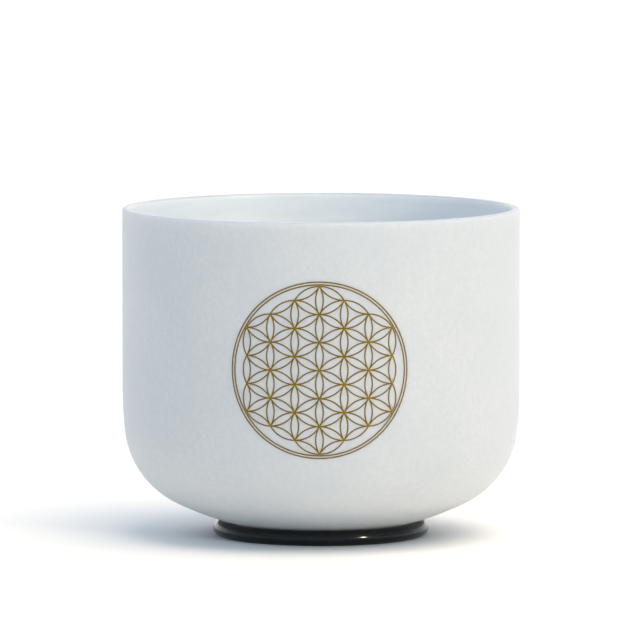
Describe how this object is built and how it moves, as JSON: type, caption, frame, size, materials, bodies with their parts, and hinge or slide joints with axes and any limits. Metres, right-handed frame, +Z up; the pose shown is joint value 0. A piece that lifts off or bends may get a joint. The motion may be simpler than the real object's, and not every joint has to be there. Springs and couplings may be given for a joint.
{
  "type": "crystal singing bowl",
  "caption": "Frosted quartz singing bowl with straight wall and round shoulder, gold lattice motif on the front, standing loose in a black rubber ring.",
  "frame": {"origin": "on the table, under the middle of the bowl and of the rubber ring it stands in", "axes": "+Z up along the bowl's axis; -Y towards the front, where the gold motif is; +X to the right as seen from the front"},
  "size_m": [0.2032, 0.2033, 0.1679],
  "materials": {
    "black_rubber": "satin, lightly glossy",
    "frosted_quartz": "frosted, translucent white",
    "gold_line": "satin dark gold"
  },
  "bodies": {
    "stand_ring": {"rubber_ring": "black_rubber"},
    "bowl": {"quartz_bowl": "frosted_quartz", "motif_border_outer": "gold_line", "motif_border_inner": "gold_line", "motif_lattice": "gold_line"}
  },
  "joints": [
    {"name": "bowl_lift", "type": "slide", "parent": "stand_ring", "child": "bowl", "axis": [0, 0, 1], "range_m": [0, 0.06]}
  ]
}
